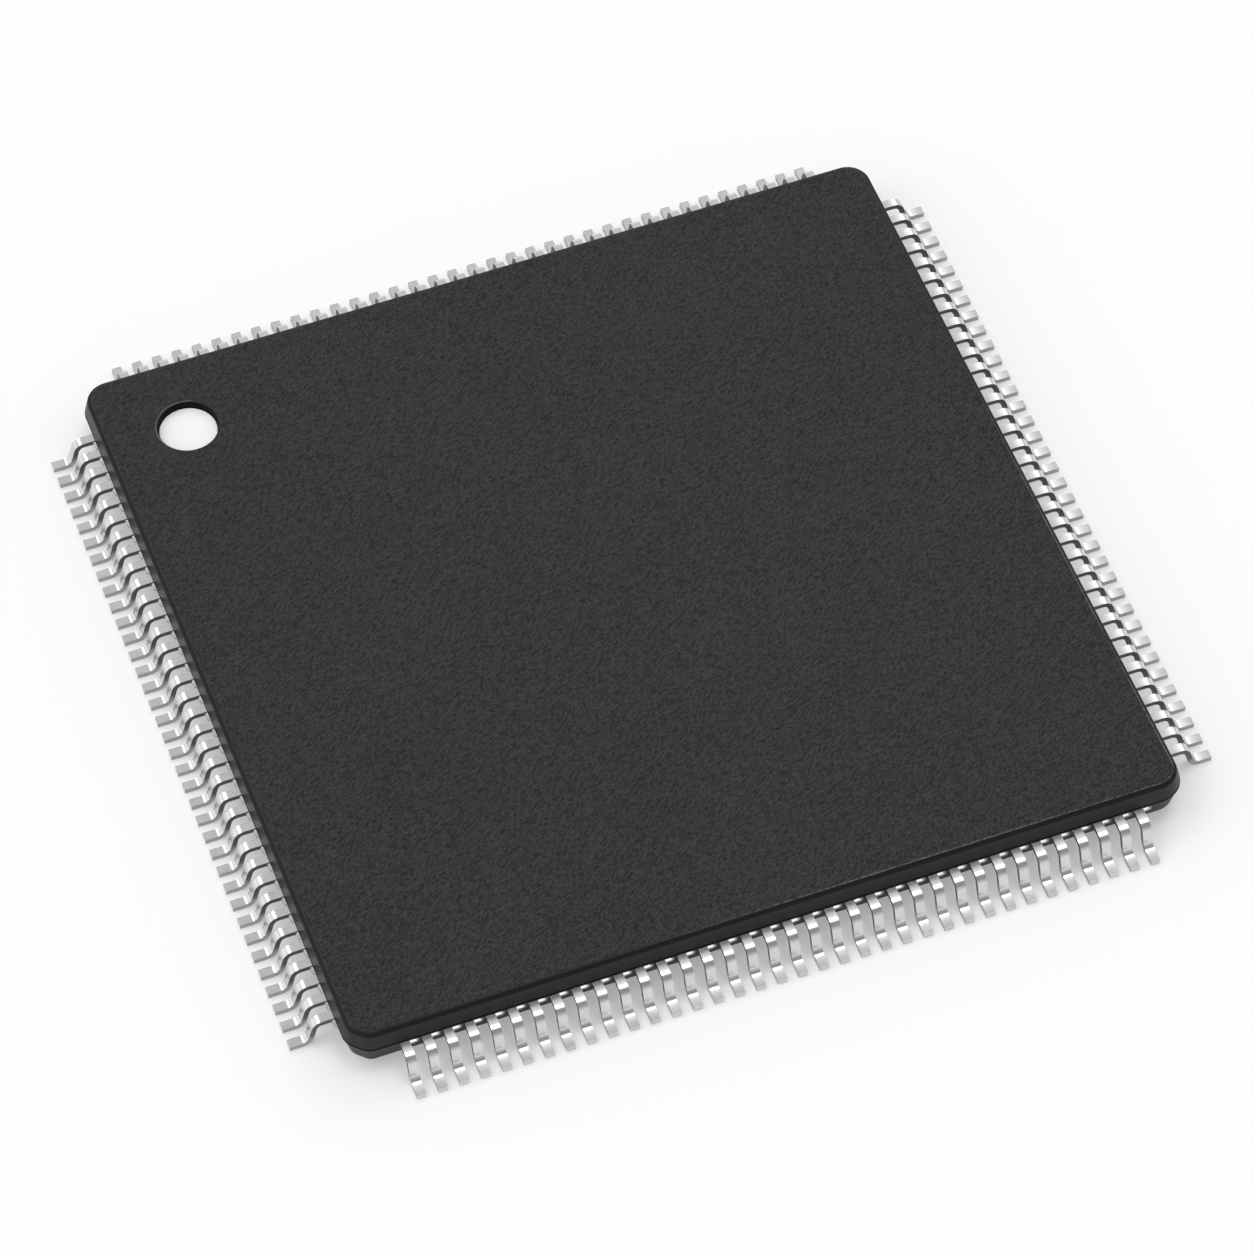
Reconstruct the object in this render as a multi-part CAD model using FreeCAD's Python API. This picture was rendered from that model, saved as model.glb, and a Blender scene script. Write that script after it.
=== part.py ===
# Thin quad flat pack chip: a moulded body with gull-wing leads on its four sides.
# Millimetres. The origin is the centre of the seating plane under the lead feet, and +Z points up.
# The corner of pin one is at -X and +Y. Pins are counted anticlockwise, seen from above.

import FreeCAD
import Part
import math
import os

# Lead rows
LEADS_PER_SIDE = 36
LEAD_PITCH = 0.5
LEADS_PER_NODE = 3
ROW_MARGIN = 1.25          # from the last lead's centre line to the side of the body

# Moulded body
BODY_SIDE = (LEADS_PER_SIDE - 1) * LEAD_PITCH + 2 * ROW_MARGIN
STANDOFF = 0.15            # air between the body and the seating plane
LOWER_HEIGHT = 0.575       # mould half below the parting line
UPPER_HEIGHT = 0.475       # mould half above the parting line
LOWER_STEP = 0.03          # how far the lower half stands inside the upper one
DRAFT_ANGLE = 13.0         # degrees that every wall leans inward, so that it leaves the mould
CORNER_RADIUS = 0.65
GATE_CHAMFER = 0.42        # flat across the corner where the resin was let in
GATE_RADIUS = 0.4
TOP_EDGE_RADIUS = 0.12
BOTTOM_EDGE_RADIUS = 0.08
FLATS_PER_TOP_EDGE = 3     # flats that stand for the rounded edge
FLATS_PER_BOTTOM_EDGE = 1

# Outer part of a lead
LEAD_WIDTH = 0.22
LEAD_THICKNESS = 0.127
SHOULDER_LENGTH = 0.28
UPPER_BEND_RADIUS = 0.14   # inside radius
LOWER_BEND_RADIUS = 0.18   # inside radius
LEG_ANGLE = 75.0           # degrees that the leg turns down from the shoulder
FOOT_LENGTH = 0.29         # flat that is soldered
FLATS_PER_TOP_BEND = 2     # on the upper bend's outside, which shows most
FLATS_PER_BEND = 1         # on the other round faces of the two bends

# Die paddle, its corner bars, and the inner ends of the leads
PADDLE_SIDE = 8.0
PADDLE_DOWNSET = 0.15      # the paddle's top below the top of the leads
TIE_BAR_WIDTH = 0.4
TIE_BAR_COVER = 0.4        # resin between a corner bar's end and the corner of the body
TIE_BAR_RUN = 0.2          # from the paddle's corner to the step of the bar
TIE_BAR_STEP = 0.3         # length of the step
FINGER_GAP = 1.2           # from the paddle's side to the tips of the fingers
FINGER_CORNER_GAP = 0.6    # from the last fingertip to the diagonal, along the row
FINGER_TIP_WIDTH = 0.13

# Die
DIE_MARGIN = 0.5           # paddle left free round the die
ATTACH_THICKNESS = 0.03
DIE_THICKNESS = 0.28

# Pin-one dimple and its mark
DIMPLE_DIAMETER = 1.45
DIMPLE_DEPTH = 0.2
DIMPLE_INSET = 2.1         # from two sides of the body to the dimple's centre
DIMPLE_DRAFT_ANGLE = 8.0
MARK_THICKNESS = 0.02
MARK_MARGIN = 0.01         # free floor round the mark

# Levels and places that follow from the sizes above
BODY_HALF = BODY_SIDE / 2
ROW_HALF = (LEADS_PER_SIDE - 1) * LEAD_PITCH / 2
PARTING_LEVEL = STANDOFF + LOWER_HEIGHT
TOP_LEVEL = PARTING_LEVEL + UPPER_HEIGHT
LEAD_BOTTOM_LEVEL = PARTING_LEVEL - LEAD_THICKNESS
PADDLE_TOP_LEVEL = PARTING_LEVEL - PADDLE_DOWNSET
DIE_BOTTOM_LEVEL = PADDLE_TOP_LEVEL + ATTACH_THICKNESS
DIE_SIDE = PADDLE_SIDE - 2 * DIE_MARGIN
FINGER_TIP_PLACE = PADDLE_SIDE / 2 + FINGER_GAP
DIMPLE_FLOOR_LEVEL = TOP_LEVEL - DIMPLE_DEPTH
DIMPLE_FLOOR_RADIUS = DIMPLE_DIAMETER / 2 - DIMPLE_DEPTH * math.tan(math.radians(DIMPLE_DRAFT_ANGLE))

# Each side of the body and how far its row is turned from the +X side, in the order of the pins
SIDES = (("left", 180), ("front", 270), ("right", 0), ("back", 90))

UP = FreeCAD.Vector(0, 0, 1)
CENTRE = FreeCAD.Vector(0, 0, 0)


def rounded_wire(corners, level):
    """Closed wire through (x, y, radius) corners, each rounded by a tangent arc."""
    edges = []
    ends = []
    count = len(corners)
    for index, (x, y, radius) in enumerate(corners):
        corner = FreeCAD.Vector(x, y, level)
        before = FreeCAD.Vector(*corners[index - 1][:2], level).sub(corner).normalize()
        after = FreeCAD.Vector(*corners[(index + 1) % count][:2], level).sub(corner).normalize()
        half_angle = before.getAngle(after) / 2
        reach = radius / math.tan(half_angle)
        middle = before.add(after).normalize().multiply(radius / math.sin(half_angle) - radius)
        start = corner.add(FreeCAD.Vector(before).multiply(reach))
        end = corner.add(FreeCAD.Vector(after).multiply(reach))
        edges.append(Part.Arc(start, corner.add(middle), end).toShape())
        ends.append((start, end))
    outline = []
    for index in range(count):
        outline.append(edges[index])
        outline.append(Part.LineSegment(ends[index][1], ends[(index + 1) % count][0]).toShape())
    return Part.Wire(outline)


def body_wire(inset, level):
    """Outline of the body, moved in from the parting line on all sides by inset."""
    half = BODY_HALF - inset
    round_corner = CORNER_RADIUS - inset
    gate_corner = GATE_RADIUS - inset
    gate_leg = GATE_CHAMFER - inset * (2 - math.sqrt(2))
    corners = (
        (half, half, round_corner),
        (-half, half, round_corner),
        (-half, -half + gate_leg, gate_corner),
        (-half + gate_leg, -half, gate_corner),
        (half, -half, round_corner),
    )
    return rounded_wire(corners, level)


def bend_points(centre, radius, start, end, flats):
    """Points (x, z) round a bend; angles in degrees, from straight up and turning outward."""
    points = []
    for step in range(flats + 1):
        angle = math.radians(start + (end - start) * step / flats)
        points.append((centre[0] + radius * math.sin(angle), centre[1] + radius * math.cos(angle)))
    return points


def mould_half(height, step, edge_radius, flats):
    """One drafted half of the body, from the parting line up or down to its rounded outer edge."""
    draft = math.radians(DRAFT_ANGLE)
    centre_rise = abs(height) - edge_radius
    tangent_rise = centre_rise + edge_radius * math.sin(draft)
    centre_inset = step + tangent_rise * math.tan(draft) + edge_radius * math.cos(draft)
    rim = bend_points((-centre_inset, centre_rise), edge_radius, 90 - DRAFT_ANGLE, 0, flats)
    wires = [body_wire(step, PARTING_LEVEL)]
    for outset, rise in rim:
        wires.append(body_wire(-outset, PARTING_LEVEL + math.copysign(rise, height)))
    return Part.makeLoft(wires, True, True)


def dimple_place():
    """Centre of the pin-one dimple, seen from above."""
    return FreeCAD.Vector(DIMPLE_INSET - BODY_HALF, BODY_HALF - DIMPLE_INSET, 0)


def package_body(inner_pieces):
    """Moulded body: two drafted halves in one, with the dimple, cast round the inner pieces."""
    upper = mould_half(UPPER_HEIGHT, 0, TOP_EDGE_RADIUS, FLATS_PER_TOP_EDGE)
    lower = mould_half(-LOWER_HEIGHT, LOWER_STEP, BOTTOM_EDGE_RADIUS, FLATS_PER_BOTTOM_EDGE)
    dimple = Part.makeCone(
        DIMPLE_FLOOR_RADIUS,
        DIMPLE_DIAMETER / 2,
        DIMPLE_DEPTH,
        dimple_place().add(UP * DIMPLE_FLOOR_LEVEL),
        UP,
    )
    return upper.fuse(lower).cut([dimple] + inner_pieces).removeSplitter()


def pin_one_mark():
    """Thin white disc on the floor of the dimple."""
    floor = dimple_place().add(UP * DIMPLE_FLOOR_LEVEL)
    return Part.makeCylinder(DIMPLE_FLOOR_RADIUS - MARK_MARGIN, MARK_THICKNESS, floor, UP)


def lead_profile():
    """Side view (x, z) of a lead's outer part, on the +X side: shoulder, leg and foot."""
    leg = math.radians(LEG_ANGLE)
    upper_centre = (BODY_HALF + SHOULDER_LENGTH, LEAD_BOTTOM_LEVEL - UPPER_BEND_RADIUS)
    lower_level = LEAD_THICKNESS + LOWER_BEND_RADIUS
    radii = UPPER_BEND_RADIUS + LOWER_BEND_RADIUS + LEAD_THICKNESS
    leg_drop = upper_centre[1] - lower_level + radii * math.cos(leg)
    leg_run = leg_drop / math.tan(leg)
    lower_centre = (upper_centre[0] + radii * math.sin(leg) + leg_run, lower_level)
    tip = lower_centre[0] + FOOT_LENGTH
    upper_outside = UPPER_BEND_RADIUS + LEAD_THICKNESS
    lower_outside = LOWER_BEND_RADIUS + LEAD_THICKNESS
    turned = 180 + LEG_ANGLE
    top = [(BODY_HALF, PARTING_LEVEL)]
    top += bend_points(upper_centre, upper_outside, 0, LEG_ANGLE, FLATS_PER_TOP_BEND)
    top += bend_points(lower_centre, LOWER_BEND_RADIUS, turned, 180, FLATS_PER_BEND)
    top += [(tip, LEAD_THICKNESS)]
    bottom = [(tip, 0)]
    bottom += bend_points(lower_centre, lower_outside, 180, turned, FLATS_PER_BEND)
    bottom += bend_points(upper_centre, UPPER_BEND_RADIUS, LEG_ANGLE, 0, FLATS_PER_BEND)
    bottom += [(BODY_HALF, LEAD_BOTTOM_LEVEL)]
    return top + bottom


def prism(points, direction):
    """Solid made by moving a closed flat outline along a direction."""
    return Part.Face(Part.makePolygon(points + points[:1])).extrude(direction)


def lead(place):
    """One lead of the +X side: its outer part, and the finger that runs in to the paddle."""
    side = place - LEAD_WIDTH / 2
    outline = [FreeCAD.Vector(x, side, z) for x, z in lead_profile()]
    outer = prism(outline, FreeCAD.Vector(0, LEAD_WIDTH, 0))
    tip_place = place * (FINGER_TIP_PLACE - FINGER_CORNER_GAP) / ROW_HALF
    plan = (
        (BODY_HALF, side),
        (BODY_HALF, side + LEAD_WIDTH),
        (FINGER_TIP_PLACE, tip_place + FINGER_TIP_WIDTH / 2),
        (FINGER_TIP_PLACE, tip_place - FINGER_TIP_WIDTH / 2),
    )
    corners = [FreeCAD.Vector(x, y, LEAD_BOTTOM_LEVEL) for x, y in plan]
    return outer.fuse(prism(corners, UP * LEAD_THICKNESS)).removeSplitter().Solids[0]


def lead_groups():
    """Every lead, as a dictionary from a node's name to its few neighbouring leads."""
    row = [lead(index * LEAD_PITCH - ROW_HALF) for index in range(LEADS_PER_SIDE)]
    groups = {}
    for side_index, (side, turn) in enumerate(SIDES):
        turned_row = [shape.copy() for shape in row]
        for shape in turned_row:
            shape.rotate(CENTRE, UP, turn)
        for start in range(0, LEADS_PER_SIDE, LEADS_PER_NODE):
            members = turned_row[start:start + LEADS_PER_NODE]
            first_pin = side_index * LEADS_PER_SIDE + start + 1
            last_pin = first_pin + len(members) - 1
            groups[f"{side}_leads_{first_pin:03d}_{last_pin:03d}"] = members
    return groups


def tie_bar(turn):
    """Bar from the paddle's corner to the corner of the body, with the step of the downset."""
    start = PADDLE_SIDE / 2 * math.sqrt(2)
    step = start + TIE_BAR_RUN
    end = (BODY_HALF - CORNER_RADIUS) * math.sqrt(2) + CORNER_RADIUS - TIE_BAR_COVER
    top = (
        (start - TIE_BAR_WIDTH, PADDLE_TOP_LEVEL),
        (step, PADDLE_TOP_LEVEL),
        (step + TIE_BAR_STEP, PARTING_LEVEL),
        (end, PARTING_LEVEL),
    )
    upper = [FreeCAD.Vector(x, -TIE_BAR_WIDTH / 2, z) for x, z in top]
    lower = [point.sub(UP * LEAD_THICKNESS) for point in reversed(upper)]
    bar = prism(upper + lower, FreeCAD.Vector(0, TIE_BAR_WIDTH, 0))
    bar.rotate(CENTRE, UP, turn)
    return bar


def centred_plate(side, thickness, level):
    """Square plate on the package's centre line, with its underside at a level."""
    corner = FreeCAD.Vector(-side / 2, -side / 2, level)
    return Part.makeBox(side, side, thickness, corner)


def die_paddle():
    """Stamped plate that carries the die, in one piece with its four corner bars."""
    plate = centred_plate(PADDLE_SIDE, LEAD_THICKNESS, PADDLE_TOP_LEVEL - LEAD_THICKNESS)
    bars = [tie_bar(turn) for turn in (45, 135, 225, 315)]
    return plate.fuse(bars).removeSplitter().Solids[0]


def build():
    """All the nodes of the chip, from name to shape."""
    groups = lead_groups()
    inner = {
        "die_paddle": die_paddle(),
        "die_attach": centred_plate(DIE_SIDE, ATTACH_THICKNESS, PADDLE_TOP_LEVEL),
        "silicon_die": centred_plate(DIE_SIDE, DIE_THICKNESS, DIE_BOTTOM_LEVEL),
    }
    leads = [shape for members in groups.values() for shape in members]
    nodes = {"package_body": package_body(leads + list(inner.values()))}
    nodes["pin_one_mark"] = pin_one_mark()
    nodes.update(inner)
    for name, members in groups.items():
        nodes[name] = Part.makeCompound(members)
    return nodes


os.makedirs("parts", exist_ok=True)
for node_name, node_shape in build().items():
    node_shape.exportStep(f"parts/{node_name}.step")
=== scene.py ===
"""Looks of the thin quad flat pack chip: one operator for each kind of piece, round its CAD model."""

import math

import bmesh
import bpy
from bpy.props import FloatProperty, FloatVectorProperty, IntProperty, PointerProperty
from mathutils import Matrix, Vector


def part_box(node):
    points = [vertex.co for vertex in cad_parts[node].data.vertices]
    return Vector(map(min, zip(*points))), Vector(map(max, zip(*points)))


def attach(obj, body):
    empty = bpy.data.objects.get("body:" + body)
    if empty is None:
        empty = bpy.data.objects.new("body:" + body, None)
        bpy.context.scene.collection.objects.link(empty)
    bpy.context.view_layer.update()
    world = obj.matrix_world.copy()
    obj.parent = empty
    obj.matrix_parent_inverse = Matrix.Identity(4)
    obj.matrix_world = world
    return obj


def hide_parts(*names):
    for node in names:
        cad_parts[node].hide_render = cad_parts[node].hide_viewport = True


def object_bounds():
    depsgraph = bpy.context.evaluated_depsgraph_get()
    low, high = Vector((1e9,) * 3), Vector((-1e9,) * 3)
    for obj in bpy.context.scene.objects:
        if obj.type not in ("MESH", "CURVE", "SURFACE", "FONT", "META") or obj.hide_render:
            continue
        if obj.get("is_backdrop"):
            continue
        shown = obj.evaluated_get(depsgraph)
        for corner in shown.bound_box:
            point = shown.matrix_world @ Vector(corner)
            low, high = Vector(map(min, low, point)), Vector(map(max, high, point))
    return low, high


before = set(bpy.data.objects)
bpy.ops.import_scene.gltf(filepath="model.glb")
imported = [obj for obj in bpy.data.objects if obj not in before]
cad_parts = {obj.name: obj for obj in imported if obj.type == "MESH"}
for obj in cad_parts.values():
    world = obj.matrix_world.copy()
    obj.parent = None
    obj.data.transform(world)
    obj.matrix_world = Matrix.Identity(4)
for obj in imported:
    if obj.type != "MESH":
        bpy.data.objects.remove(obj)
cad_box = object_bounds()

bl_info = {
    "name": "Quad Flat Pack Chip",
    "version": (1, 0, 0),
    "blender": (4, 5, 0),
    "location": "View3D > Sidebar > Chip",
    "description": "Moulded body, gull-wing leads, pin-one mark and a pale stage",
    "category": "Add Mesh",
}

MM = 0.001
SAME_PLACE = 0.001 * MM

BODY_LOW, BODY_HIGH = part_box("package_body")
MARK_LOW, MARK_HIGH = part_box("pin_one_mark")
LEAD_NODES = sorted(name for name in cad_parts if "_leads_" in name)
PARTING_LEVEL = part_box(LEAD_NODES[0])[1].z
ROW_TURNS = {"left": 180, "front": 270, "right": 0, "back": 90}  # degrees from the row on the right

# Steps of the curves
ROUND_STEPS = 72
CORNER_STEPS = 12
GATE_STEPS = 5
TOP_EDGE_STEPS = 5
BOTTOM_EDGE_STEPS = 4
RIM_STEPS = 4
BEND_STEPS = 4
STUB_STEPS = (  # share of the stub's length, then what is left of its depth and height
    (0.0, 0.92, 0.62),
    (0.5, 0.95, 0.95),
    (0.35, 0.8, 0.8),
    (0.15, 0.5, 0.6),
)

# Finishes
BLACK = (0.0, 0.0, 0.0)
# Black of the painted shade on the resin
SHADE_BLACK = (0.004, 0.004, 0.004, 1.0)
WHITE = (1.0, 1.0, 1.0, 1.0)
BRIGHTEST = 8.0  # the lightest that the resin gets, in parts of its own colour
STROKE_SHAPE = (2.8, 1.0, 1.0)  # length, width and height of the grain's strokes
PUNCH_LINE_SHAPE = (1.0, 1.0, 5.0)
ROLLED_LINE_SHAPE = (20.0, 1.0, 1.0)
COPPER_SHADES = ((0.62, 0.35, 0.22), (0.76, 0.46, 0.3))
SILVER_SHADES = ((0.42, 0.42, 0.42), (0.72, 0.72, 0.72))
SILICON_SHADES = ((0.1, 0.11, 0.14), (0.26, 0.27, 0.32))
MOTTLE_CELL = 2.4 * MM
CLOUD_CELL = 0.45 * MM
CRYSTAL_CELL = 0.03 * MM
PUNCH_LINE_CELL = 0.03 * MM
TRIM_LINE_CELL = 0.04 * MM
INK_CELL = 0.12 * MM
ROLLED_LINE_CELL = 0.03 * MM
FLAKE_CELL = 0.02 * MM
CIRCUIT_BLOCKS = 1.4 / MM  # in a metre
# A painted highlight on the top's edge at the front right, more and more from one to the other, across
# less along
HIGHLIGHT_CORNER = (5.0 * MM, 13.0 * MM)

# Stage
FLOOR_SIZE = 4.0
FIBRE_CELL = 1.5 * MM
LIGHT_PATH_SEEN = (0, 3, 6)  # outputs of Light Path: camera, glossy and transmission rays
# Directions of the room's lights, and the nearness at which each one starts and is full
CEILING_TOWARDS = (0.0, -0.35, 1.0)
CEILING_FADE = (0.45, 0.95)
LAMP_TOWARDS = (0.2, 0.09, 0.975)
LAMP_FADE = (0.94, 1.0)
FILL_TOWARDS = (-0.55, 0.15, 0.82)
FILL_FADE = (0.85, 1.0)
PANEL_TOWARDS = (-1.0, 0.0, 0.0)
PANEL_FADE = (0.55, 0.95)
SUNS = (  # name, direction, spread in degrees, strength
    ("sun_behind_left", (-0.36, 0.56, 0.74), 18, 0.16),
    ("sun_behind_right", (0.58, 0.56, 0.59), 30, 0.25),
)
SUN_DISTANCE = 0.5
CAMERA_PLACE = (-29.8991 * MM, -86.3986 * MM, 119.9953 * MM)
CAMERA_TURN = (37.1448, 0.9005, -20.3682)  # degrees about x, y and z
SENSOR_WIDTH = 36.0
FARTHEST_SEEN = 20.0


def length(name, millimetres, about):
    """A length that a user may change."""
    return FloatProperty(
        name=name, description=about, default=millimetres * MM, min=0.0, precision=6, unit="LENGTH"
    )


def angle(name, degrees, about):
    """An angle that a user may change."""
    turn = math.radians(degrees)
    return FloatProperty(
        name=name, description=about, default=turn, min=0.0, max=math.pi, subtype="ANGLE"
    )


def colour(name, red, green, blue, about):
    """A colour that a user may change."""
    shade = (red, green, blue)
    return FloatVectorProperty(
        name=name, description=about, default=shade, min=0.0, max=1.0, size=3, subtype="COLOR"
    )


def amount(name, value, about, least=0.0, most=1000.0):
    """A plain number that a user may change."""
    return FloatProperty(name=name, description=about, default=value, min=least, max=most)


class BodySettings(bpy.types.PropertyGroup):
    """Sizes and finish of the moulded body"""

    corner_radius: length("Corner Radius", 0.65, "Round corner at the parting line")
    gate_chamfer: length("Gate Chamfer", 0.42, "Flat across the corner where the resin was let in")
    gate_radius: length("Gate Radius", 0.4, "Round edges beside the gate's flat")
    lower_step: length("Lower Step", 0.03, "How far the lower half stands inside the upper one")
    draft: angle("Draft", 13.0, "How far the walls lean inward")
    top_edge_radius: length("Top Edge Radius", 0.12, "Rounded edge of the top")
    bottom_edge_radius: length("Bottom Edge Radius", 0.08, "Rounded edge of the underside")
    dimple_diameter: length("Dimple Diameter", 1.45, "Pin-one dimple at the top face")
    dimple_inset: length("Dimple Inset", 2.1, "From two sides of the body to the dimple's centre")
    dimple_draft: angle("Dimple Draft", 8.0, "How far the dimple's wall leans")
    dimple_rim_radius: length("Dimple Rim Radius", 0.03, "Rounded rim of the dimple")
    resin: colour("Resin", 0.018, 0.018, 0.018, "Black mould compound")
    grain_size: length("Grain Size", 0.035, "Width of the strokes of the top's grain")
    grain_turn: angle("Grain Turn", 32.0, "Direction of the strokes, from the front edge")
    grain_depth: length("Grain Depth", 0.02, "Depth of the grain")
    # Painted shadow: half the height of the dark band over the parting line, under the upper half's
    # overhang
    parting_shadow_height: length("Seam Height", 0.06, "Half of the dull line where the moulds met")


class LeadSettings(bpy.types.PropertyGroup):
    """Sizes and finish of the gull-wing leads"""

    leads_per_side: IntProperty(name="Leads per Side", description="Leads in a row", default=36, min=1)
    pitch: length("Pitch", 0.5, "From one lead to the next")
    width: length("Width", 0.22, "Width outside the body")
    thickness: length("Thickness", 0.127, "Thickness of the lead frame")
    shoulder: length("Shoulder", 0.28, "Flat part next to the body")
    upper_bend: length("Upper Bend", 0.14, "Inside radius of the upper bend")
    lower_bend: length("Lower Bend", 0.18, "Inside radius of the lower bend")
    leg_angle: angle("Leg Angle", 75.0, "How far the leg turns down from the shoulder")
    foot: length("Foot", 0.29, "Flat part that is soldered")
    finger_tip_place: length("Fingertip Place", 5.2, "From the chip's centre to the row of fingertips")
    finger_row_half: length("Fingertip Row", 4.6, "Half of the length of the row of fingertips")
    finger_tip_width: length("Fingertip Width", 0.13, "Width of a lead's inner end")
    stub: length("Stub", 0.22, "What the cut dam bar leaves on one side of a lead")
    stub_depth: length("Stub Depth", 0.065, "Depth of the stub, outward from the body")
    plating: colour("Plating", 0.68, 0.68, 0.675, "Satin tin")
    # Dull sheared sides with painted shade high up; the next colour is a painted reflection of the
    # floor on the feet's sides
    sheared_side_dull_and_shaded: colour("Sheared Edge", 0.14, 0.14, 0.14, "Dull plating on the sheared sides")
    sheared_foot_floor_reflection: colour("Sheared Foot", 0.42, 0.42, 0.42, "Thicker plating on the sides of the feet")
    stub_end: colour("Stub Plating", 0.3, 0.3, 0.3, "Dull plating on the stubs")


class MarkSettings(bpy.types.PropertyGroup):
    """Finish of the pin-one mark"""

    edge: length("Edge", 0.008, "Rounded edge of the ink")
    ink: colour("Ink", 0.97, 0.97, 0.97, "White marking ink")


class StageSettings(bpy.types.PropertyGroup):
    """Floor, light and camera"""

    floor: colour("Floor", 0.98, 0.98, 0.98, "Pale floor")
    walls: amount("Walls", 0.76, "Level of the room's pale walls")
    ceiling: amount("Ceiling", 0.35, "Level of the ceiling in front")
    lamp: amount("Lamp", 3.45, "Added level of the soft lamp above")
    fill: amount("Fill", 1.12, "Added level of the softer lamp on the left")
    panel: amount("Panel", 0.7, "Added level of the pale panel low on the left")
    glow: amount("Glow", 0.3, "Share of plain white in the floor as it is seen", most=1.0)
    lens: amount("Lens", 186.5, "Focal length in millimetres", least=1.0)


class Graph:
    """Node tree of a material or of the world, which makes nodes and hands out their sockets."""

    def __init__(self, owner):
        owner.use_nodes = True
        self.owner = owner
        self.tree = owner.node_tree
        self.tree.nodes.clear()

    def node(self, kind, settings=None, output=0, **inputs):
        """A new node; settings are set first, then the values or links of its sockets."""
        made = self.tree.nodes.new(kind)
        for name, value in (settings or {}).items():
            setattr(made, name, value)
        for name, value in inputs.items():
            socket = self.find_input(made, name)
            if isinstance(value, Value):
                self.tree.links.new(value.socket, socket)
            else:
                socket.default_value = value
        return Value(self, made.outputs[output]) if made.outputs else made

    @staticmethod
    def find_input(made, name):
        """The enabled socket that a keyword names, or the one whose number it ends in."""
        if name.startswith("input_"):
            return made.inputs[int(name[6:])]
        wanted = name.replace("_", " ").lower()
        enabled = (socket for socket in made.inputs if socket.enabled)
        return next(socket for socket in enabled if socket.name.lower() == wanted)

    def place(self):
        """Point on the piece, in metres."""
        return self.node("ShaderNodeTexCoord", output=3)

    def math(self, operation, first, second):
        """Result of one of the Math node's operations on two values."""
        return self.node("ShaderNodeMath", {"operation": operation}, input_0=first, input_1=second)

    def distance(self, value, place):
        """How far a value is from a place, on either side."""
        return self.math("ABSOLUTE", value - place, 0.0)

    def highest(self, first, *others):
        """The highest of some values."""
        for other in others:
            first = self.math("MAXIMUM", first, other)
        return first

    def split(self, vector):
        """The x, y and z of a vector."""
        return [self.node("ShaderNodeSeparateXYZ", output=axis, Vector=vector) for axis in range(3)]

    def ramp(self, value, low, high):
        """Smooth step of a value from 0 at low to 1 at high."""
        return self.node(
            "ShaderNodeMapRange",
            {"interpolation_type": "SMOOTHSTEP"},
            Value=value,
            From_Min=low,
            From_Max=high,
            To_Min=0.0,
            To_Max=1.0,
        )

    def band(self, value, rise, fall):
        """1 between two limits, with smooth steps up and down."""
        return self.ramp(value, *rise) * (1.0 - self.ramp(value, *fall))

    def noise(self, cell, detail=2.0, distortion=0.0, longer=(1.0, 1.0, 1.0), turn=0.0):
        """Soft noise of 0 to 1, in cells about as wide as a length, times a factor along each axis."""
        point = self.node(
            "ShaderNodeMapping",
            {"vector_type": "TEXTURE"},
            Vector=self.place(),
            Rotation=(0.0, 0.0, turn),
            Scale=tuple(cell * factor for factor in longer),
        )
        return self.node(
            "ShaderNodeTexNoise",
            {"noise_dimensions": "3D"},
            Vector=point,
            Scale=1.0,
            Detail=detail,
            Distortion=distortion,
        )

    def blend(self, mask, low, high):
        """Colour between two, by a mask of 0 to 1."""
        ends = {"input_6": opaque(low), "input_7": opaque(high)}
        return self.node("ShaderNodeMix", {"data_type": "RGBA"}, output=2, input_0=mask, **ends)

    def bump(self, height, depth):
        """Normal that shows a height of 0 to 1 as a relief of a depth in metres."""
        return self.node("ShaderNodeBump", Height=height, Distance=depth, Strength=1.0)

    def surface(self, **inputs):
        """Shader of these socket values."""
        return self.node("ShaderNodeBsdfPrincipled", **inputs)

    def finish(self, painted_shade=None, **inputs):
        """Close the material with a shader of these socket values, and dead black, as painted shade,
        where a mask is 1.
        """
        shader = self.surface(**inputs)
        if painted_shade:
            black = self.surface(Base_Color=SHADE_BLACK, Roughness=1.0, Specular_IOR_Level=0.0)
            shader = self.node("ShaderNodeMixShader", input_0=painted_shade, input_1=shader, input_2=black)
        self.node("ShaderNodeOutputMaterial", Surface=shader)
        return self.owner


class Value:
    """Output of a node, in sums written as Python expressions."""

    def __init__(self, graph, socket):
        self.graph = graph
        self.socket = socket

    def __add__(self, other):
        return self.graph.math("ADD", self, other)

    def __sub__(self, other):
        return self.graph.math("SUBTRACT", self, other)

    def __rsub__(self, other):
        return self.graph.math("SUBTRACT", other, self)

    def __mul__(self, other):
        return self.graph.math("MULTIPLY", self, other)

    def __lt__(self, other):
        return self.graph.math("LESS_THAN", self, other)

    __radd__ = __add__
    __rmul__ = __mul__


def material_graph(name):
    """Node tree of a new material."""
    return Graph(bpy.data.materials.new(name))


def opaque(shade):
    """Colour of four numbers from one of three."""
    return shade if isinstance(shade, Value) else (*shade[:3], 1.0)


def lighter(shade, factor):
    """Colour times a factor."""
    return tuple(min(1.0, part * factor) for part in shade)


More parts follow.
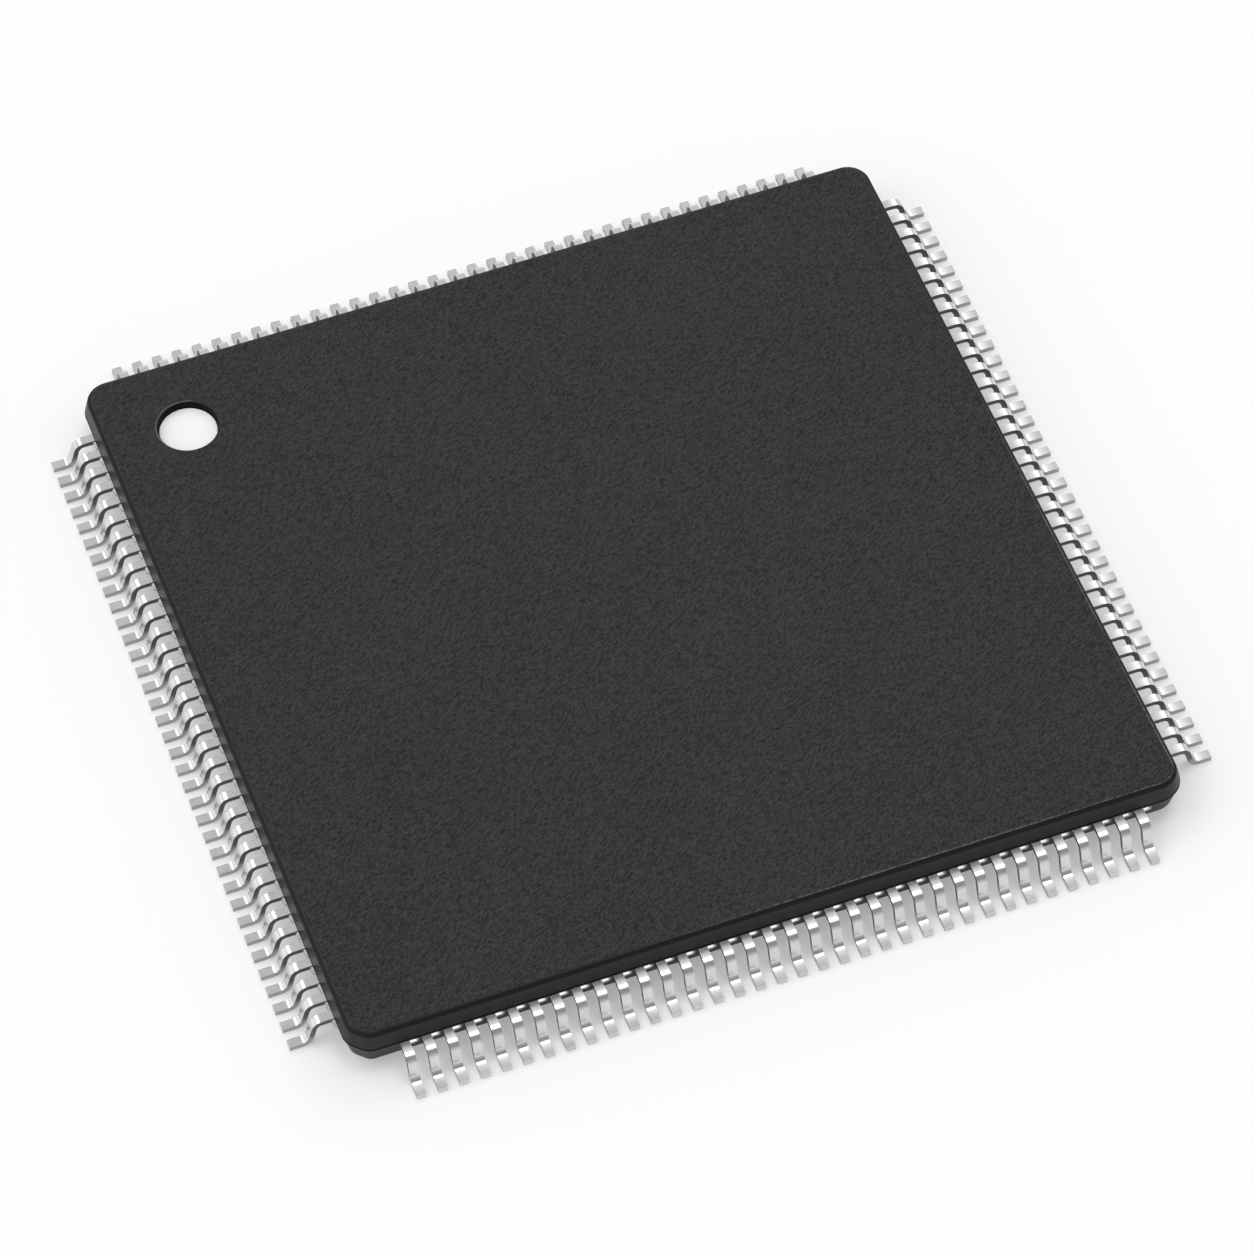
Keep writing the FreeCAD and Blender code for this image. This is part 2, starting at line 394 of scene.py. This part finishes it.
def mould_compound(look):
    """Matt black epoxy: leathery grain on the top and smooth walls, with painted shade on the parting
    line, the rounded top edge and the dimple's wall, and painted highlights on the top's edge and the
    dimple's rim.
    """
    graph = material_graph("moulded_resin")
    across, along, height = graph.split(graph.place())
    below_top = BODY_HIGH.z - height
    radius = look.top_edge_radius
    top = 1.0 - graph.ramp(below_top, 0.0, 0.03 * radius)
    strokes = graph.noise(
        look.grain_size, detail=1.5, distortion=0.8, longer=STROKE_SHAPE, turn=look.grain_turn
    )
    swell = graph.noise(look.grain_size * 12, detail=2.0)
    grain = graph.ramp(strokes, 0.36, 0.64)
    mottle = graph.noise(MOTTLE_CELL, detail=3.0)
    # Painted highlight: a thin lighter line along the top's edge, dotted by the grain, in patches
    # towards the front right
    edge_highlight = graph.band(below_top, (0.0, 0.005 * radius), (0.04 * radius, 0.07 * radius))
    edge_highlight = edge_highlight * graph.ramp(across - along, *HIGHLIGHT_CORNER) * graph.ramp(mottle, 0.3, 0.5)
    # Painted shade: a dark band over the rounded top edge
    edge = graph.band(below_top, (0.03 * radius, 0.08 * radius), (0.7 * radius, 0.9 * radius))
    # Painted shadow: dark band on the parting line, under the upper half's overhang
    from_seam = graph.distance(height, PARTING_LEVEL)
    parting_shadow = 1.0 - graph.ramp(from_seam, look.parting_shadow_height * 0.5, look.parting_shadow_height)
    recess_shade, rim = dimple_masks(graph, look, across, along, below_top)
    # Painted highlights lighten the resin: the line on the top's edge and the arc on the dimple's rim
    tone = 1.0 + top * (1.8 * grain + 0.3 * mottle - 1.05) + edge_highlight * (1.6 + 5.4 * grain) + 5.4 * rim
    shade = graph.blend(tone * (1 / BRIGHTEST), BLACK, lighter(look.resin, BRIGHTEST))
    return graph.finish(
        # Painted shade: black over the parting line, the dimple's wall and the rounded top edge
        painted_shade=graph.highest(0.8 * parting_shadow, 0.75 * recess_shade, 0.5 * edge),
        Base_Color=shade,
        Roughness=0.42 + 0.1 * grain * top - 0.15 * rim,
        Specular_IOR_Level=0.25,
        Normal=graph.bump(top * (strokes + 0.4 * swell), look.grain_depth),
    )


def dimple_masks(graph, look, across, along, below_top):
    """Masks of the dimple's wall, for its painted shade, and of the arc of its rim on the side of the
    corner, for its painted highlight.
    """
    aside = across - (BODY_LOW.x + look.dimple_inset)
    behind = along - (BODY_HIGH.y - look.dimple_inset)
    from_centre = graph.math("SQRT", aside * aside + behind * behind, 0.0)
    radius = look.dimple_diameter / 2
    edge = look.dimple_rim_radius
    # Painted shade on the dimple's wall
    recess_shade = (from_centre < radius + edge) * graph.ramp(below_top, edge * 0.4, edge * 0.9)
    # Painted highlight: the arc of the rim on the side of the corner
    rise = (radius + edge * 0.5, radius + edge * 0.7)
    fall = (radius + edge * 1.5, radius + edge * 1.8)
    return recess_shade, graph.band(from_centre, rise, fall) * graph.ramp(behind - aside, 0.0, radius)


def tin_plating(look):
    """Matt-tin plating: satin, with fine crystals and a faint cloudiness from lead to lead."""
    graph = material_graph("satin_tin")
    cloud = graph.noise(CLOUD_CELL, detail=2.0)
    crystals = graph.noise(CRYSTAL_CELL, detail=1.0)
    shade = graph.blend(cloud, lighter(look.plating, 0.88), lighter(look.plating, 1.1))
    return graph.finish(
        Base_Color=shade,
        Metallic=1.0,
        Roughness=0.17 + 0.07 * cloud + 0.05 * crystals,
        Normal=graph.bump(crystals, 0.0002 * MM),
    )


def sheared_tin(look):
    """Dull tin on the sheared sides of the leads, with the punch's fine lines, with painted shade high
    up and a painted reflection of the floor lighter at the feet.
    """
    graph = material_graph("sheared_tin")
    lines = graph.noise(PUNCH_LINE_CELL, detail=2.0, longer=PUNCH_LINE_SHAPE)
    height = graph.split(graph.place())[2]
    # Painted shade and reflection: darker high up, lighter near the floor
    foot = 1.0 - graph.ramp(height, look.thickness, look.thickness * 3)
    plain = graph.blend(foot, lighter(look.sheared_side_dull_and_shaded, 0.8), lighter(look.sheared_foot_floor_reflection, 0.8))
    lined = graph.blend(foot, lighter(look.sheared_side_dull_and_shaded, 1.2), lighter(look.sheared_foot_floor_reflection, 1.2))
    return graph.finish(
        Base_Color=graph.blend(lines, plain, lined),
        Metallic=1.0,
        Roughness=0.4 + 0.15 * lines,
        Normal=graph.bump(lines, 0.001 * MM),
    )


def trimmed_tin(look):
    """Dull tin on what is left of the dam bar."""
    graph = material_graph("trimmed_tin")
    lines = graph.noise(TRIM_LINE_CELL, detail=2.0)
    shade = graph.blend(lines, lighter(look.stub_end, 0.85), lighter(look.stub_end, 1.15))
    return graph.finish(
        Base_Color=shade,
        Metallic=1.0,
        Roughness=0.16 + 0.1 * lines,
        Normal=graph.bump(lines, 0.0006 * MM),
    )


def white_ink(look):
    """Thick white marking ink, slightly uneven."""
    graph = material_graph("marking_ink")
    film = graph.noise(INK_CELL, detail=3.0)
    shade = graph.blend(film, lighter(look.ink, 0.96), lighter(look.ink, 1.03))
    return graph.finish(
        Base_Color=shade,
        Roughness=0.5 + 0.15 * film,
        Normal=graph.bump(film, 0.003 * MM),
    )


def stamped_copper():
    """Bare copper alloy with the faint lines of rolling."""
    graph = material_graph("stamped_copper")
    lines = graph.noise(ROLLED_LINE_CELL, detail=2.0, longer=ROLLED_LINE_SHAPE)
    shade = graph.blend(lines, *COPPER_SHADES)
    return graph.finish(
        Base_Color=shade,
        Metallic=1.0,
        Roughness=0.28 + 0.14 * lines,
        Normal=graph.bump(lines, 0.0008 * MM),
    )


def silver_epoxy():
    """Grey epoxy full of silver flakes."""
    graph = material_graph("silver_epoxy")
    flakes = graph.noise(FLAKE_CELL, detail=2.0)
    shade = graph.blend(flakes, *SILVER_SHADES)
    return graph.finish(
        Base_Color=shade,
        Metallic=0.6,
        Roughness=0.55 - 0.2 * flakes,
        Normal=graph.bump(flakes, 0.002 * MM),
    )


def polished_silicon():
    """Dark silicon with the faint blocks of its circuits."""
    graph = material_graph("polished_silicon")
    blocks = graph.node(
        "ShaderNodeTexVoronoi",
        {"distance": "CHEBYCHEV"},
        Vector=graph.place(),
        Scale=CIRCUIT_BLOCKS,
        Randomness=0.7,
    )
    shade = graph.blend(blocks, *SILICON_SHADES)
    return graph.finish(
        Base_Color=shade,
        Metallic=0.3,
        Roughness=0.16 + 0.1 * blocks,
        Normal=graph.bump(blocks, 0.0005 * MM),
    )


def edit_new(name):
    """Name the primitive that was just added, put its object at the origin and edit its mesh."""
    piece = bpy.context.object
    piece.name = name
    piece.data.name = name
    bpy.ops.object.transform_apply(location=True, rotation=True, scale=True)
    bpy.ops.object.mode_set(mode="EDIT")
    return piece


def end_edit(smooth_up_to):
    """Leave edit mode and shade the piece smooth over edges of up to an angle in degrees."""
    bpy.ops.object.mode_set(mode="OBJECT")
    bpy.ops.object.shade_smooth_by_angle(angle=math.radians(smooth_up_to))


def face_outwards():
    """Turn all the faces of the edited mesh outwards."""
    bpy.ops.mesh.select_all(action="SELECT")
    bpy.ops.mesh.normals_make_consistent(inside=False)


def pick(piece, kind, wanted):
    """Select those parts of an edited mesh, VERT, EDGE or FACE, for which the test holds."""
    bpy.ops.mesh.select_mode(type=kind)
    bpy.ops.mesh.select_all(action="DESELECT")
    mesh = bmesh.from_edit_mesh(piece.data)
    parts = {"VERT": mesh.verts, "EDGE": mesh.edges, "FACE": mesh.faces}[kind]
    for part in parts:
        if wanted(part):
            part.select_set(True)
    mesh.select_flush_mode()
    bmesh.update_edit_mesh(piece.data)


def open_at(level):
    """Test for an edge with fewer than two faces and with both ends at a height."""

    def wanted(edge):
        at_level = all(abs(end.co.z - level) < SAME_PLACE for end in edge.verts)
        return at_level and len(edge.link_faces) < 2

    return wanted


def inset_steps(steps):
    """Inset the selected face again and again by (inward, outward along its normal)."""
    for inward, outward in steps:
        bpy.ops.mesh.inset(
            thickness=inward, depth=outward, use_even_offset=True, use_individual=True
        )


def drafted_wall(height, draft, edge_radius, segments):
    """Inset steps for a wall that leans inward and ends in a rounded edge between two narrow bands."""
    band = edge_radius / 12
    centre_height = height - edge_radius
    tangent_height = centre_height + edge_radius * math.sin(draft)
    tangent_inset = tangent_height * math.tan(draft)
    places = [(0.0, 0.0), (tangent_inset - band * math.tan(draft), tangent_height - band)]
    for step in range(segments + 1):
        turn = draft + (math.pi / 2 - draft) * step / segments
        inset = tangent_inset + edge_radius * (math.cos(draft) - math.cos(turn))
        places.append((inset, centre_height + edge_radius * math.sin(turn)))
    places.append((places[-1][0] + band, height))
    pairs = zip(places, places[1:])
    return [(after[0] - before[0], after[1] - before[1]) for before, after in pairs]


def dress(piece, nodes):
    """Put a finished piece under its body and hide the CAD nodes that it stands for."""
    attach(piece, "root")
    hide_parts(*nodes)


class CHIP_OT_moulded_body(bpy.types.Operator):
    """Add the moulded body: two drafted halves on the parting line, with the pin-one dimple"""

    bl_idname = "chip.moulded_body"
    bl_label = "Moulded Body"

    def execute(self, context):
        look = context.scene.chip_body
        side = BODY_HIGH.x - BODY_LOW.x
        bpy.ops.object.select_all(action="DESELECT")
        bpy.ops.mesh.primitive_plane_add(size=side, location=(0, 0, PARTING_LEVEL))
        body = edit_new("moulded_body")
        self.round_corners(body, look)
        self.raise_upper_half(body, look)
        self.hang_lower_half(body, look)
        self.sink_dimple(body, look)
        end_edit(smooth_up_to=30)
        body.data.materials.append(mould_compound(look))
        dress(body, ["package_body"])
        return {"FINISHED"}

    def round_corners(self, body, look):
        """Cut the gate's flat at the front left, then round its edges and the other three corners."""
        pick(body, "VERT", self.is_gate)
        bpy.ops.mesh.bevel(offset=look.gate_chamfer, segments=1, affect="VERTICES")
        pick(body, "VERT", self.is_gate)
        reach = look.gate_radius * math.tan(math.pi / 8)
        bpy.ops.mesh.bevel(offset=reach, segments=GATE_STEPS, affect="VERTICES")
        pick(body, "VERT", self.is_sharp_corner)
        bpy.ops.mesh.bevel(offset=look.corner_radius, segments=CORNER_STEPS, affect="VERTICES")

    @staticmethod
    def is_gate(corner):
        """True for the corner where the resin is let in, or for the corners of its flat."""
        return corner.co.x < 0 and corner.co.y < 0

    @staticmethod
    def is_sharp_corner(corner):
        """True for a corner of the full square."""
        short_of_x = abs(abs(corner.co.x) - BODY_HIGH.x)
        short_of_y = abs(abs(corner.co.y) - BODY_HIGH.x)
        return short_of_x + short_of_y < SAME_PLACE

    def raise_upper_half(self, body, look):
        """Raise the outline in steps to the top face."""
        height = BODY_HIGH.z - PARTING_LEVEL
        pick(body, "FACE", lambda face: True)
        inset_steps(drafted_wall(height, look.draft, look.top_edge_radius, TOP_EDGE_STEPS))

    def hang_lower_half(self, body, look):
        """Close the parting plane, step inward on it and go down to the underside."""
        height = PARTING_LEVEL - BODY_LOW.z
        pick(body, "EDGE", open_at(PARTING_LEVEL))
        bpy.ops.mesh.edge_face_add()
        face_outwards()
        pick(body, "FACE", lambda face: abs(face.calc_center_median().z - PARTING_LEVEL) < SAME_PLACE)
        inset_steps([(look.lower_step, 0.0)])
        inset_steps(drafted_wall(height, look.draft, look.bottom_edge_radius, BOTTOM_EDGE_STEPS))

    def sink_dimple(self, body, look):
        """Open the top face round a circle and sink the circle to the dimple's floor."""
        place = Vector((BODY_LOW.x + look.dimple_inset, BODY_HIGH.y - look.dimple_inset, BODY_HIGH.z))
        pick(body, "FACE", self.is_top)
        bpy.ops.mesh.delete(type="ONLY_FACE")
        rim = look.dimple_rim_radius
        wall_turn = math.pi / 2 - look.dimple_draft
        outside = look.dimple_diameter / 2 + rim * math.sin(wall_turn)
        band = rim / 4
        bpy.ops.mesh.select_all(action="DESELECT")
        bpy.ops.mesh.primitive_circle_add(vertices=ROUND_STEPS, radius=outside + band, location=place)
        pick(body, "EDGE", open_at(BODY_HIGH.z))
        bpy.ops.mesh.fill(use_beauty=True)
        near = look.dimple_diameter
        pick(body, "EDGE", lambda edge: edge.is_boundary and (edge.verts[0].co - place).length < near)
        bpy.ops.mesh.edge_face_add()
        face_outwards()
        pick(body, "FACE", lambda face: len(face.verts) == ROUND_STEPS)
        inset_steps([(band, 0.0), *self.dimple_steps(look, rim, wall_turn)])

    @staticmethod
    def is_top(face):
        """True for the top face, which has more corners than the strips round it."""
        return face.calc_center_median().z > BODY_HIGH.z - SAME_PLACE and len(face.verts) > 4

    @staticmethod
    def dimple_steps(look, rim, wall_turn):
        """Inset steps over the dimple's rounded rim and down its leaning wall."""
        turns = [wall_turn * step / RIM_STEPS for step in range(RIM_STEPS + 1)]
        steps = [
            (rim * (math.sin(after) - math.sin(before)), rim * (math.cos(after) - math.cos(before)))
            for before, after in zip(turns, turns[1:])
        ]
        wall = BODY_HIGH.z - MARK_LOW.z - rim * (1 - math.cos(wall_turn))
        return [*steps, (wall * math.tan(look.dimple_draft), -wall)]


class CHIP_OT_gull_wing_leads(bpy.types.Operator):
    """Add the four rows of gull-wing leads, formed once and copied"""

    bl_idname = "chip.gull_wing_leads"
    bl_label = "Gull-Wing Leads"

    def execute(self, context):
        look = context.scene.chip_leads
        pattern = self.form_lead(look)
        for node in LEAD_NODES:
            side, first, last = node.replace("_leads_", "_").split("_")
            pins = range(int(first) - 1, int(last))
            leads = [self.copy_lead(pattern, look, side, pin) for pin in pins]
            bpy.ops.object.select_all(action="DESELECT")
            for lead in leads:
                lead.select_set(True)
            context.view_layer.objects.active = leads[0]
            bpy.ops.object.join()
            leads[0].name = f"formed_{node}"
            leads[0].data.name = leads[0].name
            dress(leads[0], [node])
        bpy.data.objects.remove(pattern)
        return {"FINISHED"}

    def form_lead(self, look):
        """One lead on the +X side, in the middle of its row."""
        wall = BODY_HIGH.x
        middle = PARTING_LEVEL - look.thickness / 2
        bpy.ops.object.select_all(action="DESELECT")
        bpy.ops.mesh.primitive_plane_add(
            size=1, location=(look.finger_tip_place, 0, middle), rotation=(0, math.pi / 2, 0)
        )
        bpy.context.object.scale = (look.thickness, look.finger_tip_width, 1)
        lead = edit_new("lead_pattern")
        self.push(wall - look.finger_tip_place, 0)
        bpy.ops.transform.resize(value=(1, look.width / look.finger_tip_width, 1))
        self.push(look.stub_depth, 0)
        self.push(look.shoulder - look.stub_depth, 0)
        self.bend_leg(look, wall + look.shoulder)
        self.push(look.foot, 0)
        self.draw_stub(lead, look, wall)
        face_outwards()
        end_edit(smooth_up_to=35)
        for finish in (tin_plating, sheared_tin, trimmed_tin):
            lead.data.materials.append(finish(look))
        for face in lead.data.polygons:
            sheared = abs(face.normal.y) > 0.9
            trimmed = face.center.y > look.width / 2 + SAME_PLACE and face.center.x > wall
            face.material_index = 2 if trimmed else int(sheared)
        return lead

    def push(self, distance, drop_angle):
        """Extrude the selected end face outward, in a direction that drops by an angle."""
        move = (distance * math.cos(drop_angle), 0, -distance * math.sin(drop_angle))
        bpy.ops.mesh.extrude_region_move(TRANSFORM_OT_translate={"value": move})

    def bend_leg(self, look, bend_start):
        """Turn the end face down, push the leg and turn it back up into the foot."""
        upper_centre = Vector((bend_start, 0, PARTING_LEVEL - look.thickness - look.upper_bend))
        lower_level = look.thickness + look.lower_bend
        radii = look.upper_bend + look.lower_bend + look.thickness
        drop = upper_centre.z - lower_level + radii * math.cos(look.leg_angle)
        run = drop / math.tan(look.leg_angle)
        lower_centre = Vector((bend_start + radii * math.sin(look.leg_angle) + run, 0, lower_level))
        self.spin(-look.leg_angle, upper_centre)
        self.push(drop / math.sin(look.leg_angle), look.leg_angle)
        self.spin(look.leg_angle, lower_centre)

    def spin(self, turn, centre):
        """Turn the selected end face about an axis across the lead."""
        bpy.ops.mesh.spin(steps=BEND_STEPS, angle=turn, center=centre, axis=(0, 1, 0))

    def draw_stub(self, lead, look, wall):
        """Draw out what the cut dam bar leaves on one side, with its upper outer edge sloped."""
        hold = Vector((wall, 0, PARTING_LEVEL - look.thickness * 0.35))
        pick(lead, "FACE", lambda face: self.is_stub_root(face, wall, look.stub_depth))
        for share, depth_left, height_left in STUB_STEPS:
            move = (0, share * look.stub, 0)
            bpy.ops.mesh.extrude_region_move(TRANSFORM_OT_translate={"value": move})
            bpy.ops.transform.resize(value=(depth_left, 1, height_left), center_override=hold)
        pick(lead, "VERT", lambda point: self.is_stub_crest(point, look, wall))
        bpy.ops.transform.translate(value=(0, 0, -0.1 * look.thickness))

    @staticmethod
    def is_stub_root(face, wall, depth):
        """True for the side face of the shoulder's first stretch."""
        from_middle = abs(face.calc_center_median().x - wall - depth / 2)
        return face.normal.y > 0.9 and from_middle < SAME_PLACE

    @staticmethod
    def is_stub_crest(point, look, wall):
        """True for the stub's upper outer corners, inside the shoulder's edges and beyond its side."""
        inside = wall + 0.2 * look.stub_depth < point.co.x < wall + 0.95 * look.stub_depth
        upper = point.co.z > PARTING_LEVEL - look.thickness * 0.4
        return inside and upper and point.co.y > look.width * 0.49

    def copy_lead(self, pattern, look, side, pin):
        """Copy of the lead at its place, with its finger fanned in to the fingertips' row."""
        row_half = (look.leads_per_side - 1) * look.pitch / 2
        place = pin % look.leads_per_side * look.pitch - row_half
        lead = pattern.copy()
        lead.data = pattern.data.copy()
        bpy.context.collection.objects.link(lead)
        for point in lead.data.vertices:
            inner = abs(point.co.x - look.finger_tip_place) < SAME_PLACE
            point.co.y += place * look.finger_row_half / row_half if inner else place
        lead.data.transform(Matrix.Rotation(math.radians(ROW_TURNS[side]), 4, "Z"))
        return lead


class CHIP_OT_pin_one_mark(bpy.types.Operator):
    """Add the disc of white ink on the dimple's floor"""

    bl_idname = "chip.pin_one_mark"
    bl_label = "Pin-One Mark"

    def execute(self, context):
        look = context.scene.chip_mark
        radius = (MARK_HIGH.x - MARK_LOW.x) / 2
        centre = (MARK_LOW + MARK_HIGH) / 2
        film = MARK_HIGH.z - MARK_LOW.z
        bpy.ops.object.select_all(action="DESELECT")
        bpy.ops.mesh.primitive_circle_add(
            vertices=ROUND_STEPS,
            radius=radius,
            fill_type="NGON",
            location=(centre.x, centre.y, MARK_LOW.z),
        )
        mark = edit_new("pin_one_ink")
        bpy.ops.mesh.select_all(action="SELECT")
        bpy.ops.mesh.extrude_region_move(TRANSFORM_OT_translate={"value": (0, 0, film - look.edge)})
        inset_steps([
            (look.edge * 0.3, look.edge * 0.7),
            (look.edge * 0.7, look.edge * 0.3),
            (look.edge * 0.5, 0.0),
        ])
        face_outwards()
        end_edit(smooth_up_to=50)
        mark.data.materials.append(white_ink(look))
        dress(mark, ["pin_one_mark"])
        return {"FINISHED"}


class CHIP_OT_inner_pieces(bpy.types.Operator):
    """Give the paddle, the die attach and the die inside the moulding their finishes"""

    bl_idname = "chip.inner_pieces"
    bl_label = "Inner Pieces"

    def execute(self, context):
        finishes = {
            "die_paddle": stamped_copper(),
            "die_attach": silver_epoxy(),
            "silicon_die": polished_silicon(),
        }
        for node, material in finishes.items():
            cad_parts[node].data.materials.clear()
            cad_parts[node].data.materials.append(material)
        return {"FINISHED"}


class CHIP_OT_stage(bpy.types.Operator):
    """Add the pale floor, the soft light and the camera at the photograph's angle"""

    bl_idname = "chip.stage"
    bl_label = "Stage"

    def execute(self, context):
        look = context.scene.chip_stage
        self.add_floor(look)
        self.add_light(look)
        self.add_camera(context.scene, look)
        context.scene.view_settings.view_transform = "Standard"
        return {"FINISHED"}

    def add_floor(self, look):
        """Wide plain floor at the lead feet."""
        bpy.ops.object.select_all(action="DESELECT")
        bpy.ops.mesh.primitive_plane_add(size=FLOOR_SIZE, location=(0, 0, 0))
        floor = bpy.context.object
        floor.name = "floor"
        graph = material_graph("floor_paper")
        fibre = graph.noise(FIBRE_CELL, detail=2.0)
        shade = graph.blend(fibre, lighter(look.floor, 0.998), lighter(look.floor, 1.002))
        paper = graph.surface(Base_Color=shade, Roughness=0.9, Specular_IOR_Level=0.0)
        white = graph.node("ShaderNodeEmission", Color=WHITE, Strength=1.0)
        seen = [graph.node("ShaderNodeLightPath", output=kind) for kind in LIGHT_PATH_SEEN]
        share = look.glow * graph.highest(*seen)
        surface = graph.node("ShaderNodeMixShader", input_0=share, input_1=paper, input_2=white)
        graph.node("ShaderNodeOutputMaterial", Surface=surface)
        floor.data.materials.append(graph.owner)
        floor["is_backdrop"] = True

    def add_light(self, look):
        """Pale room with a greyer ceiling in front, soft lamps above and on the left, and two suns."""
        world = bpy.data.worlds.new("soft_room")
        bpy.context.scene.world = world
        graph = Graph(world)
        level = look.walls
        for added, towards, fade in (
            (look.ceiling - look.walls, CEILING_TOWARDS, CEILING_FADE),
            (look.lamp, LAMP_TOWARDS, LAMP_FADE),
            (look.fill, FILL_TOWARDS, FILL_FADE),
            (look.panel, PANEL_TOWARDS, PANEL_FADE),
        ):
            level = level + added * graph.ramp(self.nearness(graph, towards), *fade)
        room = graph.node("ShaderNodeBackground", Color=WHITE, Strength=level)
        graph.node("ShaderNodeOutputWorld", Surface=room)
        for name, towards, spread, strength in SUNS:
            direction = Vector(towards)
            bpy.ops.object.light_add(
                type="SUN",
                location=direction.normalized() * SUN_DISTANCE,
                rotation=direction.to_track_quat("Z", "Y").to_euler(),
            )
            sun = bpy.context.object
            sun.name = name
            sun.data.angle = math.radians(spread)
            sun.data.energy = strength

    @staticmethod
    def nearness(graph, towards):
        """How near a direction in the room is to another one, at its most where they are the same."""
        directions = graph.split(graph.node("ShaderNodeTexCoord"))
        across, along, height = (share * part for share, part in zip(towards, directions))
        return across + along + height

    def add_camera(self, scene, look):
        """Camera above the front left, as the photograph was taken."""
        turn = tuple(math.radians(degrees) for degrees in CAMERA_TURN)
        bpy.ops.object.camera_add(location=CAMERA_PLACE, rotation=turn)
        camera = bpy.context.object
        camera.data.sensor_width = SENSOR_WIDTH
        camera.data.lens = look.lens
        camera.data.clip_start = MM
        camera.data.clip_end = FARTHEST_SEEN
        scene.camera = camera


class CHIP_PT_sidebar(bpy.types.Panel):
    """Buttons and sizes of the chip"""

    bl_idname = "CHIP_PT_sidebar"
    bl_label = "Quad Flat Pack Chip"
    bl_space_type = "VIEW_3D"
    bl_region_type = "UI"
    bl_category = "Chip"

    def draw(self, context):
        for operator, group in (
            ("chip.moulded_body", "chip_body"),
            ("chip.gull_wing_leads", "chip_leads"),
            ("chip.pin_one_mark", "chip_mark"),
            ("chip.inner_pieces", None),
            ("chip.stage", "chip_stage"),
        ):
            box = self.layout.box()
            box.operator(operator)
            if group:
                settings = getattr(context.scene, group)
                for name in settings.__annotations__:
                    box.prop(settings, name)


SETTINGS = {
    "chip_body": BodySettings,
    "chip_leads": LeadSettings,
    "chip_mark": MarkSettings,
    "chip_stage": StageSettings,
}
CLASSES = (
    *SETTINGS.values(),
    CHIP_OT_moulded_body,
    CHIP_OT_gull_wing_leads,
    CHIP_OT_pin_one_mark,
    CHIP_OT_inner_pieces,
    CHIP_OT_stage,
    CHIP_PT_sidebar,
)


def register():
    """Add the classes, and their settings to the scene."""
    for cls in CLASSES:
        bpy.utils.register_class(cls)
    for name, group in SETTINGS.items():
        setattr(bpy.types.Scene, name, PointerProperty(type=group))


def unregister():
    """Take the settings and the classes out again."""
    for name in SETTINGS:
        delattr(bpy.types.Scene, name)
    for cls in reversed(CLASSES):
        bpy.utils.unregister_class(cls)


def main():
    """Build the chip's looks and its stage, and work out the boxes of the CAD and the visual model."""
    register()
    bpy.ops.chip.moulded_body()
    bpy.ops.chip.gull_wing_leads()
    bpy.ops.chip.pin_one_mark()
    bpy.ops.chip.inner_pieces()
    bpy.ops.chip.stage()
    boxes = {"cad": cad_box, "visual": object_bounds()}
    {name: [list(corner) for corner in box] for name, box in boxes.items()}


if __name__ == "__main__":
    main()
